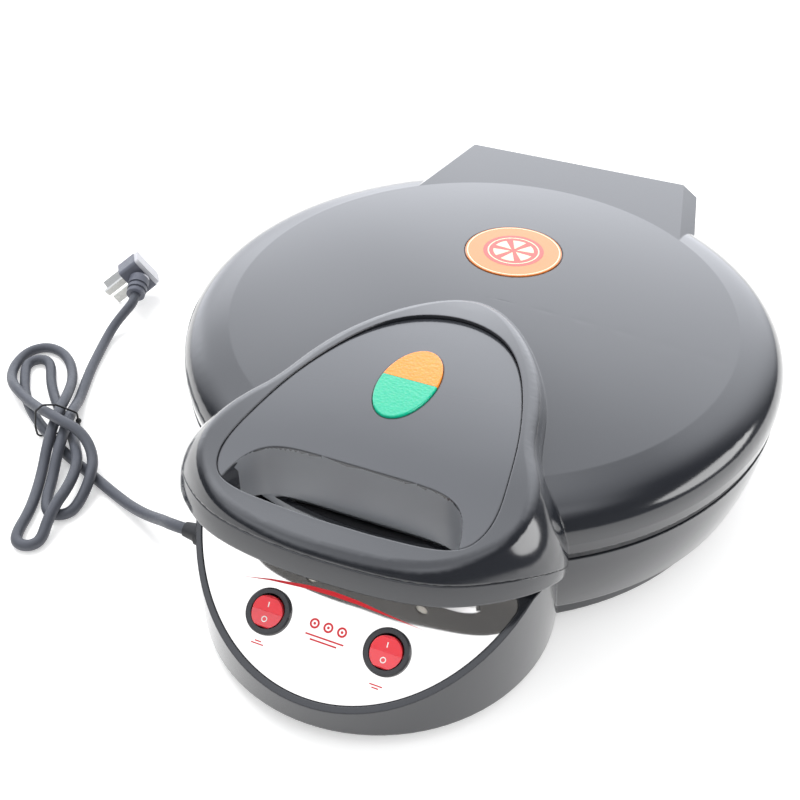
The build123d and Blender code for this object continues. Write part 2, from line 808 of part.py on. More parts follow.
# Hinge guides inside the housing, with the steel carrier that slides in them
guide_rear_y = block_rear_y - housing_inset - wall - guide_gap
with BuildPart() as hinge_guides:
    with BuildSketch(Plane.XY.offset(housing_under_z - guide_height)):
        with Locations((-leg_x, guide_rear_y - guide_depth / 2), (leg_x, guide_rear_y - guide_depth / 2)):
            Rectangle(guide_width, guide_depth)
        with Locations((-leg_x, hinge_y), (leg_x, hinge_y)):
            Rectangle(leg_thickness + 2 * guide_gap, leg_width + 2 * guide_gap, mode=Mode.SUBTRACT)
    extrude(amount=guide_height)
save(hinge_guides.part, "hinge_guides")

with BuildPart() as hinge_carrier:
    with BuildSketch(Plane.XY.offset(carrier_bottom_z)):
        with Locations((0, hinge_y)):
            Rectangle(2 * leg_x + leg_thickness, leg_width)
    extrude(amount=leg_thickness)
    with BuildSketch(Plane.YZ.offset(leg_x - leg_thickness / 2)):
        with Locations((hinge_y, (hinge_z + carrier_bottom_z) / 2)):
            Rectangle(leg_width, hinge_z - carrier_bottom_z)
        with Locations((hinge_y, hinge_z)):
            Circle(leg_width / 2)
            Circle(pin_radius + pin_gap, mode=Mode.SUBTRACT)
    extrude(amount=leg_thickness)
    mirror(about=Plane.YZ)
save(hinge_carrier.part, "hinge_carrier")


# Lid casing: dome, hinge block and raised handle as one moulding
def lid_section(inset):
    """Half section of the domed lid, moved in from its outer face."""
    crease = (crease_radius - inset / 3, crease_z - inset)
    middle = crease_radius / 2
    with BuildSketch(Plane.XZ) as section:
        with BuildLine():
            ThreePointArc((0, dome_z - inset), (middle, dome_z - inset - (dome_z - crease_z) / 4), crease)
            Spline(crease, (lid_radius - inset, lid_widest_z), tangents=((1, -shoulder_slope), (0, -1)))
            Polyline(
                (lid_radius - inset, lid_widest_z),
                (lid_edge_radius - inset, lid_edge_z),
                (0, lid_edge_z),
                (0, dome_z - inset),
            )
        make_face()
    return section.sketch


def block_form(inset, bottom):
    """Hinge block with its sloping sides."""
    with BuildPart() as block:
        extrude(block_outline(bottom, block_flare - inset), amount=block_chamfer_z - inset - bottom)
        loft(
            sections=[
                block_outline(block_chamfer_z - inset, block_flare - inset),
                block_outline(crease_z - inset, -inset),
            ]
        )
    return block.part


def handle_form(inset):
    """Raised handle: lofted sides under the top line, with a rounded edge on the outside."""
    with BuildPart() as form:
        loft(
            sections=[
                smooth_outline(drawn_in(handle_low, inset), handle_low_z),
                smooth_outline(drawn_in(handle_mid, inset), handle_mid_z),
                smooth_outline(drawn_in(handle_high, inset), handle_high_z),
            ]
        )
        add(above_line(handle_top, inset), mode=Mode.SUBTRACT)
        fillet(form.faces().sort_by(Axis.Z)[-1].edges(), radius=handle_edge - inset)
    return form.part


def opening_sketch(grow):
    """Finger opening: in front of its rear curve, and a margin of the panel's outline."""
    rear = []
    for i, (x, y) in enumerate(opening_rear):
        before = Vector(-opening_rear[1][0], opening_rear[1][1]) if i == 0 else Vector(*opening_rear[i - 1])
        after = Vector(*opening_rear[min(i + 1, len(opening_rear) - 1)])
        along = (after - before).normalized()
        rear.append((x - along.Y * grow if x > 0 else 0, y + along.X * grow))
    with BuildSketch() as opening:
        with BuildLine():
            Spline(*[(-x, y) for x, y in reversed(rear) if x > 0], *rear)
            Line(rear[-1], (-rear[-1][0], rear[-1][1]))
        make_face()
        add(smooth_outline(panel_outline), mode=Mode.INTERSECT)
    return opening.sketch


handle_outer = handle_form(0)
handle_inner = handle_form(shell_wall)
skirt_outer = skirt_thickness + panel_gap

# Space of the lower handle shell: under the parting line and outside the round lid
with BuildPart() as lower_space:
    with BuildSketch(Plane.XY.offset(base_bottom_z)):
        with Locations((0, -2 * lid_radius)):
            Rectangle(4 * lid_radius, 4 * lid_radius - 2 * box_radius)
        Circle(lid_radius + shell_gap, mode=Mode.SUBTRACT)
    extrude(amount=crease_z)
    add(above_line(parting_line), mode=Mode.SUBTRACT)

# Inside of the handle: open to the lid above a low wall, so the round lid stays closed at its edge
with BuildPart() as handle_hollow:
    add(handle_inner)
    with BuildSketch(Plane.XY.offset(lid_edge_z)):
        Circle(lid_radius + shell_gap)
    extrude(amount=handle_open_z - lid_edge_z, mode=Mode.SUBTRACT)

with BuildPart() as block_hollow:
    add(block_form(lid_wall, base_low_z))
    with BuildSketch(Plane.XY.offset(base_low_z)):
        Circle(lid_radius)
    extrude(amount=block_strip_z - base_low_z, mode=Mode.SUBTRACT)

badge_tilt = degrees(2 * (dome_z - crease_z) * badge_y / crease_radius**2)
badge_z = dome_z - (dome_z - crease_z) * (badge_y / crease_radius) ** 2
badge_plane = Plane(
    origin=(0, badge_y, badge_z),
    x_dir=(1, 0, 0),
    z_dir=(0, sin(radians(badge_tilt)), cos(radians(badge_tilt))),
)

# Ledge that carries the cover panel, and the wall behind the grip bar
with BuildPart() as panel_ledge:
    extrude(smooth_outline(panel_outline, lid_edge_z, groove_wall), amount=lid_edge_z)
    extrude(smooth_outline(panel_outline, lid_edge_z, -ledge_width), amount=lid_edge_z, mode=Mode.SUBTRACT)
    add(above_line(panel_top, panel_thickness + panel_seat + ledge_thickness), mode=Mode.INTERSECT)
    add(handle_outer, mode=Mode.INTERSECT)

with BuildPart() as grip_wall:
    extrude(smooth_outline(panel_outline, lid_edge_z, groove_wall), amount=lid_edge_z)
    extrude(smooth_outline(panel_outline, lid_edge_z), amount=lid_edge_z, mode=Mode.SUBTRACT)
    add(handle_outer, mode=Mode.INTERSECT)
    with BuildSketch(Plane.XY.offset(lid_edge_z)):
        with Locations((0, -2 * lid_radius)):
            Rectangle(4 * lid_radius, 2 * lid_radius)
    extrude(amount=lid_edge_z, mode=Mode.INTERSECT)

with BuildPart() as well_wall:
    extrude(opening_sketch(skirt_outer + groove_wall), amount=dome_z - handle_floor_z + groove_wall)
    extrude(opening_sketch(skirt_outer), amount=dome_z - handle_floor_z + groove_wall, mode=Mode.SUBTRACT)
well_wall_part = well_wall.part.moved(Location((0, 0, handle_floor_z - groove_wall)))
shell_wall_part = well_wall.part.moved(Location((0, 0, lid_edge_z)))

# Recess of the panel, and the finger well in front of it
with BuildPart() as recess_space:
    extrude(smooth_outline(panel_outline, lid_edge_z), amount=lid_edge_z)
    add(above_line(panel_top, panel_thickness + panel_seat), mode=Mode.INTERSECT)

with BuildPart() as well_space:
    extrude(opening_sketch(skirt_outer), amount=dome_z)
well_space_part = well_space.part.moved(Location((0, 0, handle_floor_z)))

with BuildPart() as dome_hollow:
    revolve(lid_section(lid_wall), axis=Axis.Z)

# Screw bosses under the roof of the handle and of the hinge block
with BuildPart() as handle_bosses:
    for (x, y), seat in zip(handle_screw_places, handle_screw_seats):
        with BuildSketch(Plane.XY.offset(seat + shell_boss_height)):
            with Locations((x, y)):
                Circle(handle_boss_radius)
        extrude(amount=dome_z)
    add(handle_outer, mode=Mode.INTERSECT)

with BuildPart() as lid_casing:
    revolve(lid_section(0), axis=Axis.Z)
    add(block_form(0, lid_edge_z))
    add(handle_outer)
    add(dome_hollow.part, mode=Mode.SUBTRACT)
    add(block_hollow.part, mode=Mode.SUBTRACT)
    add(handle_hollow.part, mode=Mode.SUBTRACT)
    add(panel_ledge.part)
    add(grip_wall.part)
    add(well_wall_part)
    add(handle_bosses.part)
    add(recess_space.part, mode=Mode.SUBTRACT)
    add(well_space_part, mode=Mode.SUBTRACT)
    add(lower_space.part, mode=Mode.SUBTRACT)
    with BuildSketch(Plane.XY.offset(base_bottom_z)):
        Circle(lid_radius + shell_gap)
    extrude(amount=lid_edge_z - base_bottom_z, mode=Mode.SUBTRACT)
    for (x, y), seat in zip(handle_screw_places, handle_screw_seats):
        with BuildSketch(Plane.XY.offset(seat)):
            with Locations((x, y)):
                Circle(screw_radius + screw_play)
        extrude(amount=screw_length + 1, mode=Mode.SUBTRACT)
    # Bosses that carry the lid ring
    with BuildSketch(Plane.XY.offset(ring_top_z)):
        for angle in ring_screw_angles:
            with PolarLocations(ring_screw_ring, 1, start_angle=angle):
                Rectangle(ring_boss_length, ring_boss_width)
    extrude(amount=ring_boss_height)
    with BuildSketch(Plane.XY.offset(ring_top_z)):
        for angle in ring_screw_angles:
            with PolarLocations(ring_screw_ring, 1, start_angle=angle):
                Circle(screw_radius + screw_play)
    extrude(amount=ring_screw_length, mode=Mode.SUBTRACT)
    # Bosses that carry the hinge brackets
    bracket_screw_points = bracket_screw_places + [(-x, y) for x, y in bracket_screw_places]
    with BuildSketch(Plane.XY.offset(bracket_flange_z)):
        with Locations(*bracket_screw_points):
            Circle(bracket_boss_radius)
    extrude(amount=crease_z - lid_wall - bracket_flange_z + 0.5)
    with BuildSketch(Plane.XY.offset(bracket_flange_z)):
        with Locations(*bracket_screw_points):
            Circle(screw_radius + screw_play)
    extrude(amount=bracket_screw_length, mode=Mode.SUBTRACT)
    # Slots in the rear wall that the carrier's legs pass through when the lid is open
    with BuildSketch(Plane.XZ.offset(-hinge_y)):
        with Locations((-leg_x, lid_edge_z), (leg_x, lid_edge_z)):
            Rectangle(2 * rear_slot_half, 2 * (rear_slot_top_z - lid_edge_z))
    extrude(amount=-2 * (block_rear_y - hinge_y), mode=Mode.SUBTRACT)
    # Shallow seat of the badge
    with BuildSketch(badge_plane):
        Circle(badge_radius + badge_gap)
    extrude(amount=-badge_sink, mode=Mode.SUBTRACT)
    with BuildSketch(badge_plane):
        Circle(badge_radius + badge_gap)
    extrude(amount=badge_sink, mode=Mode.SUBTRACT)
save(lid_casing.part, "lid_casing")
print("lid casing solids", len(lid_casing.part.solids()), lid_casing.part.is_valid)


# Lower half of the handle: a shallow trough under the parting line
with BuildPart() as shell_hollow:
    add(handle_inner)
    add(above_line(band_line, -shell_wall), mode=Mode.INTERSECT)
    with BuildSketch(Plane.XY.offset(base_bottom_z)):
        Circle(lid_radius + shell_gap + shell_wall)
    extrude(amount=2 * crease_z, mode=Mode.SUBTRACT)

with BuildPart() as handle_lower_shell:
    add(handle_outer)
    add(shell_hollow.part, mode=Mode.SUBTRACT)
    add(grip_wall.part)
    add(shell_wall_part)
    for (x, y), seat in zip(handle_screw_places, handle_screw_seats):
        with BuildSketch(Plane.XY.offset(lid_edge_z)):
            with Locations((x, y)):
                Circle(shell_boss_radius)
        extrude(amount=seat + shell_boss_height - lid_edge_z)
    add(lower_space.part, mode=Mode.INTERSECT)
    add(above_line(parting_line, shell_line), mode=Mode.SUBTRACT)
    add(above_line(band_line), mode=Mode.INTERSECT)
    with BuildSketch(Plane.XY.offset(base_bottom_z)):
        add(opening_sketch(skirt_outer))
    extrude(amount=2 * crease_z, mode=Mode.SUBTRACT)
    for (x, y), seat in zip(handle_screw_places, handle_screw_seats):
        with BuildSketch(Plane.XY.offset(lid_edge_z)):
            with Locations((x, y)):
                Circle(screw_radius + screw_play)
        extrude(amount=crease_z - lid_edge_z, mode=Mode.SUBTRACT)
        with BuildSketch(Plane.XY.offset(lid_edge_z)):
            with Locations((x, y)):
                Circle(screw_head_radius + screw_play)
        extrude(amount=seat - lid_edge_z, mode=Mode.SUBTRACT)
save(handle_lower_shell.part, "handle_lower_shell")
print("lower shell solids", len(handle_lower_shell.part.solids()), handle_lower_shell.part.is_valid)

with BuildPart() as handle_screws:
    for (x, y), seat in zip(handle_screw_places, handle_screw_seats):
        with BuildSketch(Plane.XY.offset(seat - screw_head_height)):
            with Locations((x, y)):
                Circle(screw_head_radius)
        extrude(amount=screw_head_height)
        with BuildSketch(Plane.XY.offset(seat)):
            with Locations((x, y)):
                Circle(screw_radius)
        extrude(amount=screw_length)
save(handle_screws.part, "handle_screws")


# Lid ring: the strip in the seam, with a step that centres it inside the lid's edge
with BuildPart() as lid_ring:
    with BuildSketch(Plane.XY.offset(ring_bottom_z)):
        Circle(ring_radius)
        Circle(ring_inner_radius, mode=Mode.SUBTRACT)
    extrude(amount=ring_top_z - ring_bottom_z)
    with BuildSketch(Plane.XY.offset(ring_top_z)):
        Circle(ring_step_outer)
        Circle(ring_step_inner, mode=Mode.SUBTRACT)
        for angle in ring_screw_angles:
            with PolarLocations(ring_screw_ring, 1, start_angle=angle):
                Rectangle(ring_boss_length + 2, ring_boss_width + 2, mode=Mode.SUBTRACT)
        with Locations((0, hinge_y)):
            Rectangle(4 * leg_x, 4 * ring_boss_width, mode=Mode.SUBTRACT)
    extrude(amount=ring_step_z - ring_top_z)
    with BuildSketch(Plane.XY.offset(ring_bottom_z)):
        for angle in ring_screw_angles:
            with PolarLocations(ring_screw_ring, 1, start_angle=angle):
                Circle(screw_radius + screw_play)
    extrude(amount=ring_top_z - ring_bottom_z, mode=Mode.SUBTRACT)
    with BuildSketch(Plane.XY.offset(ring_bottom_z)):
        for angle in ring_screw_angles:
            with PolarLocations(ring_screw_ring, 1, start_angle=angle):
                Circle(screw_head_radius + screw_play)
    extrude(amount=screw_head_height + screw_play, mode=Mode.SUBTRACT)
save(lid_ring.part, "lid_ring")

with BuildPart() as lid_ring_screws:
    with BuildSketch(Plane.XY.offset(ring_bottom_z + screw_play)):
        for angle in ring_screw_angles:
            with PolarLocations(ring_screw_ring, 1, start_angle=angle):
                Circle(screw_head_radius)
    extrude(amount=screw_head_height)
    with BuildSketch(Plane.XY.offset(ring_bottom_z + screw_play + screw_head_height)):
        for angle in ring_screw_angles:
            with PolarLocations(ring_screw_ring, 1, start_angle=angle):
                Circle(screw_radius)
    extrude(amount=ring_screw_length)
save(lid_ring_screws.part, "lid_ring_screws")


# Cover panel on top of the handle, with a skirt down the back of the finger opening
with BuildPart() as panel_skirt:
    with BuildSketch(Plane.XY.offset(handle_floor_z + shell_gap)):
        add(opening_sketch(skirt_thickness))
        add(opening_sketch(0), mode=Mode.SUBTRACT)
        add(smooth_outline(panel_outline, 0, -panel_gap), mode=Mode.INTERSECT)
    extrude(amount=dome_z)
    add(above_line(band_line, -skirt_lift), mode=Mode.INTERSECT)
    add(above_line(panel_top), mode=Mode.SUBTRACT)

with BuildPart() as handle_cover_panel:
    extrude(smooth_outline(panel_outline, lid_edge_z, -panel_gap), amount=lid_edge_z)
    with BuildSketch(Plane.XY.offset(lid_edge_z)):
        add(opening_sketch(0))
    extrude(amount=lid_edge_z, mode=Mode.SUBTRACT)
    with BuildSketch(Plane.XY.offset(lid_edge_z)):
        with Locations((lens_x, lens_y)):
            Ellipse(lens_half_width + lens_gap, lens_half_length + lens_gap)
    extrude(amount=lid_edge_z, mode=Mode.SUBTRACT)
    add(above_line(panel_top, panel_thickness), mode=Mode.INTERSECT)
    add(above_line(panel_top), mode=Mode.SUBTRACT)
    add(panel_skirt.part)
save(handle_cover_panel.part, "handle_cover_panel")
print("panel solids", len(handle_cover_panel.part.solids()), handle_cover_panel.part.is_valid)


# Two-part lens with the lamp holder and two neon lamps under it
with BuildPart() as lens_form:
    with BuildSketch(Plane.XY.offset(lid_edge_z)):
        with Locations((lens_x, lens_y)):
            Ellipse(lens_half_width, lens_half_length)
    extrude(amount=lid_edge_z)
    add(above_line(panel_top, lens_depth), mode=Mode.INTERSECT)
    add(above_line(panel_top, -lens_rise), mode=Mode.SUBTRACT)
    fillet(lens_form.faces().sort_by(Axis.Z)[-1].edges(), radius=lens_edge)

for name, towards in (("amber_lens", Keep.TOP), ("green_lens", Keep.BOTTOM)):
    shift = lens_gap / 2 if towards == Keep.TOP else -lens_gap / 2
    with BuildPart() as lens:
        add(lens_form.part)
        cut = Plane(origin=(0, lens_split_y + shift, 0), x_dir=(1, 0, 0), z_dir=(0, 1, 0))
        split(bisect_by=cut, keep=towards)
    save(lens.part, name)

with BuildPart() as lamp_holder:
    with BuildSketch(Plane.XY.offset(holder_floor_z)):
        with Locations((lens_x, lens_y)):
            Ellipse(lens_half_width + holder_gap + holder_wall, lens_half_length + holder_gap + holder_wall)
    extrude(amount=lid_edge_z)
    with BuildSketch(Plane.XY.offset(holder_floor_z + holder_wall)):
        with Locations((lens_x, lens_y)):
            Ellipse(lens_half_width + holder_gap, lens_half_length + holder_gap)
    extrude(amount=lid_edge_z, mode=Mode.SUBTRACT)
    add(above_line(panel_top, panel_thickness + panel_seat), mode=Mode.SUBTRACT)
save(lamp_holder.part, "lamp_holder")

with BuildPart() as neon_lamps:
    lamp_z = holder_floor_z + holder_wall + panel_seat + lamp_radius
    for shift in (-lamp_offset, lamp_offset):
        with BuildSketch(Plane.XZ.offset(-(lens_y + shift - lamp_length / 2))):
            with Locations((lens_x, lamp_z)):
                Circle(lamp_radius)
        extrude(amount=-lamp_length)
save(neon_lamps.part, "neon_lamps")


# Badge
with BuildPart() as badge_disc:
    with BuildSketch(badge_plane.offset(-badge_sink)):
        Circle(badge_radius)
    extrude(amount=badge_thickness)
    chamfer(badge_disc.edges().group_by(Axis.Z)[-1], length=0.2)
save(badge_disc.part, "badge_disc")


# Upper baking plate with its heater, shield, thermostat and fuse
with BuildPart() as upper_baking_plate:
    with BuildSketch(Plane.XY.offset(plate_face_z)):
        Circle(baking_plate_radius)
    extrude(amount=baking_plate_thickness)
    with BuildSketch(Plane.XY.offset(ring_top_z)):
        Circle(baking_flange_radius)
    extrude(amount=plate_back_z - ring_top_z)
    with BuildSketch(Plane.XY.offset(plate_back_z)):
        with PolarLocations(stud_ring, 3, start_angle=90):
            Circle(stud_radius)
    extrude(amount=shield_drop)
    with BuildSketch(Plane.XY.offset(upper_shield_z)):
        with PolarLocations(stud_ring, 3, start_angle=90):
            Circle(thread_radius)
    extrude(amount=thread_length)
save(upper_baking_plate.part, "upper_baking_plate")

heating_element(plate_back_z + element_gap + element_radius, "upper_heating_element")
heat_shield(upper_shield_z, "upper_heat_shield")
shield_nuts(upper_shield_z + shield_thickness, "upper_shield_nuts")
thermostat(plate_back_z + thermostat_gap, "upper_thermostat")

with BuildPart() as thermal_fuse:
    with BuildSketch(Plane.XZ.offset(-fuse_place[1])):
        with Locations((fuse_place[0], plate_back_z + thermostat_gap + fuse_radius)):
            Circle(fuse_radius)
    extrude(amount=fuse_length / 2, both=True)
save(thermal_fuse.part, "thermal_fuse")


# Floating hinge: brackets under the lid's roof, pins through the carrier's legs, clips on the pins
for side, word in ((-1, "left"), (1, "right")):
    with BuildPart() as bracket:
        with BuildSketch(Plane.YZ.offset(side * bracket_x)):
            with BuildLine():
                Polyline(*[(hinge_y + y, hinge_z + z) for y, z in bracket_side], close=True)
            make_face()
            with Locations((hinge_y, hinge_z)):
                Circle(pin_radius, mode=Mode.SUBTRACT)
        extrude(amount=bracket_thickness / 2, both=True)
        flange_x = bracket_x + bracket_thickness / 2 - bracket_flange_width / 2
        with BuildSketch(Plane.XY.offset(bracket_flange_z)):
            with Locations((side * flange_x, (bracket_front_y + bracket_rear_y) / 2)):
                Rectangle(bracket_flange_width, bracket_rear_y - bracket_front_y)
            for x, y in bracket_screw_places:
                with Locations((side * x, y)):
                    Circle(screw_radius + screw_play, mode=Mode.SUBTRACT)
        extrude(amount=-bracket_thickness)
    save(bracket.part, f"hinge_bracket_{word}")

with BuildPart() as hinge_bracket_screws:
    with BuildSketch(Plane.XY.offset(bracket_flange_z - bracket_thickness - screw_head_height)):
        with Locations(*bracket_screw_points):
            Circle(screw_head_radius)
    extrude(amount=screw_head_height)
    with BuildSketch(Plane.XY.offset(bracket_flange_z - bracket_thickness)):
        with Locations(*bracket_screw_points):
            Circle(screw_radius)
    extrude(amount=screw_length)
save(hinge_bracket_screws.part, "hinge_bracket_screws")

pin_start = bracket_x - bracket_thickness / 2 - pin_head_length
clip_start = leg_x + leg_thickness / 2 + slot_gap
with BuildPart() as hinge_pins:
    with BuildSketch(Plane.YZ.offset(pin_start)):
        with Locations((hinge_y, hinge_z)):
            Circle(pin_head_radius)
    extrude(amount=pin_head_length)
    with BuildSketch(Plane.YZ.offset(pin_start + pin_head_length)):
        with Locations((hinge_y, hinge_z)):
            Circle(pin_radius)
    extrude(amount=clip_start + 2 * clip_thickness - pin_start - pin_head_length)
    mirror(about=Plane.YZ)
save(hinge_pins.part, "hinge_pins")

with BuildPart() as hinge_clips:
    with BuildSketch(Plane.YZ.offset(clip_start)):
        with Locations((hinge_y, hinge_z)):
            Circle(clip_radius)
            Circle(pin_radius, mode=Mode.SUBTRACT)
    extrude(amount=clip_thickness)
    mirror(about=Plane.YZ)
save(hinge_clips.part, "hinge_clips")


# Cord: the run to the hank, the hank itself as one unbroken tube, and the run to the plug
body_tube, body_route = cord_tube(body_run_points, "power_cord_body_run")
save(body_tube, "power_cord_body_run")
hank_tube, hank_route = cord_tube(hank_points, "power_cord_hank")
save(hank_tube, "power_cord_hank")
plug_tube, plug_route = cord_tube(plug_run_points, "power_cord_plug_run")
save(plug_tube, "power_cord_plug_run")
print("cord length", round(body_route.length + hank_route.length + plug_route.length, 1))

# Least gap of the hank to itself, between points of its middle line further apart than a bend
hank_steps = int(hank_route.length)
hank_middle = [hank_route @ (i / hank_steps) for i in range(hank_steps + 1)]
least = min(
    (a - b).length
    for i, a in enumerate(hank_middle)
    for b in hank_middle[i + 8 * int(cord_radius) :]
)
print("hank least gap to itself", round(least - 2 * cord_radius, 2))

across = Vector(*tie_across)
tie_points = [Vector(*tie_centre, 0) + across * a + Vector(0, 0, z) for a, z in tie_outline]
with BuildPart() as wire_tie:
    with BuildLine() as tie_route:
        FilletPolyline(*tie_points, radius=tie_corner, close=True)
    with BuildSketch(Plane(origin=tie_route.wires()[0] @ 0, z_dir=tie_route.wires()[0] % 0)):
        Circle(tie_radius)
    sweep(path=tie_route.wires()[0])
    with Locations(Vector(*tie_centre, knot_z) + across * tie_outline[-1][0]):
        Sphere(knot_radius)
save(wire_tie.part, "wire_tie")


# Plug: moulded body with a light cap, a ribbed relief towards the cord, and three flat pins
plug_plane = Plane(origin=plug_centre, x_dir=plug_long, z_dir=plug_back)
cord_end = Vector(*plug_run_points[-1])
cord_way = (cord_end - Vector(*plug_run_points[-2])).normalized()
with BuildPart() as plug_body:
    with BuildSketch(plug_plane.offset(-plug_size[2] / 2)):
        RectangleRounded(plug_size[0], plug_size[1], plug_corner)
    extrude(amount=plug_size[2])
    with BuildSketch(plug_plane.offset(plug_size[2] / 2)):
        RectangleRounded(plug_size[0] - 1, plug_size[1] - 1, plug_corner)
    extrude(amount=plug_cap_height)
    relief_plane = Plane(origin=cord_end, x_dir=(0, 0, 1), z_dir=cord_way)
    with BuildSketch(Plane(origin=cord_end, x_dir=cord_way, z_dir=relief_plane.x_dir.cross(cord_way))):
        with BuildLine():
            Polyline(
                (0, 0),
                (0, relief_radius),
                *relief_steps,
                (relief_length, relief_root_radius),
                (relief_length, 0),
                close=True,
            )
        make_face()
    revolve(axis=Axis(cord_end, cord_way))
save(plug_body.part, "plug_body")
print("plug solids", len(plug_body.part.solids()), "lowest", round(plug_body.part.bounding_box().min.Z, 2))

with BuildPart() as plug_pins:
    with BuildSketch(plug_plane.offset(-plug_size[2] / 2)):
        with Locations((-pin_live_offset, -pin_blade_apart)):
            Rectangle(pin_blade[0], pin_blade[1], rotation=pin_blade_tilt)
        with Locations((-pin_live_offset, pin_blade_apart)):
            Rectangle(pin_blade[0], pin_blade[1], rotation=-pin_blade_tilt)
        with Locations((pin_earth_offset, 0)):
            Rectangle(pin_blade[0], pin_blade[1])
    extrude(amount=-pin_blade[2])
save(plug_pins.part, "plug_pins")
print("pins lowest", round(plug_pins.part.bounding_box().min.Z, 2))
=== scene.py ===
import math
import bpy
from mathutils import Matrix, Vector


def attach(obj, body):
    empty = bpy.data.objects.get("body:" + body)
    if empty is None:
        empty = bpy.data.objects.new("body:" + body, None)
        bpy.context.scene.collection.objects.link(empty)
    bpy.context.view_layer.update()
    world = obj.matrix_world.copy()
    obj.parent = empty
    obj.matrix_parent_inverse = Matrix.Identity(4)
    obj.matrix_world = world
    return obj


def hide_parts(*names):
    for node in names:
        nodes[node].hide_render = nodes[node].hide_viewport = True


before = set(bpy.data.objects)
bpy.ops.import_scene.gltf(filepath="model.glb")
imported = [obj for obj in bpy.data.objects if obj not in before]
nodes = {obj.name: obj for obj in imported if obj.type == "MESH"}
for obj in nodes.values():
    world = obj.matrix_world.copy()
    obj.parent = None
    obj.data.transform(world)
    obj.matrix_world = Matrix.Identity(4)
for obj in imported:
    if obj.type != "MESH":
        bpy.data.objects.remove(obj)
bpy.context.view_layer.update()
mm = 0.001
roughNoise = {"detail": 3.0, "reach": (0.3, 0.7)}
edgeSamples = 6
sharpFrom = math.radians(30)


# Small helpers
def toLinear(code):
    channels = [int(code[i:i + 2], 16) / 255 for i in (0, 2, 4)]
    return tuple(c / 12.92 if c <= 0.04045 else ((c + 0.055) / 1.055) ** 2.4 for c in channels) + (1.0,)


# Adds one node; each socket is fed by another node's output or holds a value
def addNode(tree, kind, sockets=None, **values):
    node = tree.nodes.new(kind)
    for key, value in values.items():
        setattr(node, key, value)
    for socket, source in (sockets or {}).items():
        if isinstance(source, bpy.types.NodeSocket):
            tree.links.new(source, node.inputs[socket])
        else:
            node.inputs[socket].default_value = source
    return node


def addNoise(tree, vector, scale, detail):
    sockets = {"Vector": vector, "Scale": scale, "Detail": detail}
    return addNode(tree, "ShaderNodeTexNoise", sockets).outputs["Fac"]


def addMapRange(tree, value, fromSpan, toSpan, **values):
    sockets = {"Value": value, "From Min": fromSpan[0], "From Max": fromSpan[1], "To Min": toSpan[0],
               "To Max": toSpan[1]}
    return addNode(tree, "ShaderNodeMapRange", sockets, **values).outputs["Result"]


def addMath(tree, operation, first, second):
    return addNode(tree, "ShaderNodeMath", {0: first, 1: second}, operation=operation).outputs[0]


def objectPlace(tree):
    return addNode(tree, "ShaderNodeTexCoord").outputs["Object"]


# Sockets hold values by the names of the shader's own inputs
def newMaterial(name, colour, roughness, metallic=0.0, sockets=None):
    material = bpy.data.materials.new(name)
    material.use_nodes = True
    shader = material.node_tree.nodes["Principled BSDF"]
    shader.inputs["Base Color"].default_value = toLinear(colour)
    shader.inputs["Roughness"].default_value = roughness
    shader.inputs["Metallic"].default_value = metallic
    for socket, value in (sockets or {}).items():
        shader.inputs[socket].default_value = value
    return material


# Raises the surface by a height in millimetres where the source is high
def addBump(material, source, height):
    tree = material.node_tree
    bump = addNode(tree, "ShaderNodeBump", {"Height": source, "Strength": 1.0, "Distance": height * mm})
    tree.links.new(bump.outputs["Normal"], tree.nodes["Principled BSDF"].inputs["Normal"])


# Noise of a size in millimetres drives the roughness, and a bump when a height is given
def roughen(material, size, span, height):
    tree = material.node_tree
    noise = addNoise(tree, objectPlace(tree), 1 / (size * mm), roughNoise["detail"])
    spread = addMapRange(tree, noise, roughNoise["reach"], span)
    tree.links.new(spread, tree.nodes["Principled BSDF"].inputs["Roughness"])
    if height:
        addBump(material, noise, height)


# Long shallow waves, as a thin sheet keeps after bending
def addWaves(material, waves):
    tree = material.node_tree
    sockets = {"Vector": objectPlace(tree), "Rotation": (0, 0, waves["turn"]), "Scale": waves["stretch"]}
    stretched = addNode(tree, "ShaderNodeMapping", sockets).outputs["Vector"]
    noise = addNoise(tree, stretched, 1 / (waves["size"] * mm), waves["detail"])
    addBump(material, noise, waves["height"])


# Edges catch light as if rounded to this radius in millimetres
def softenEdges(material, radius):
    tree = material.node_tree
    bevel = addNode(tree, "ShaderNodeBevel", {"Radius": radius * mm}, samples=edgeSamples)
    for socket in ("Normal", "Coat Normal"):
        tree.links.new(bevel.outputs["Normal"], tree.nodes["Principled BSDF"].inputs[socket])


# Small cells under a smooth top, as pressed into a lamp lens
def addGrain(material, size, height):
    tree = material.node_tree
    sockets = {"Vector": objectPlace(tree), "Scale": 1 / (size * mm)}
    addBump(material, addNode(tree, "ShaderNodeTexVoronoi", sockets).outputs["Distance"], height)


def paint(material, *names):
    for name in names:
        mesh = nodes[name].data
        mesh.materials.clear()
        mesh.materials.append(material)


def newObject(name, data):
    obj = bpy.data.objects.new(name, data)
    bpy.context.scene.collection.objects.link(obj)
    return obj


def meshFrom(name, points, faces):
    mesh = bpy.data.meshes.new(name)
    mesh.from_pydata([[c * mm for c in p] for p in points], [], faces)
    mesh.update()
    return mesh


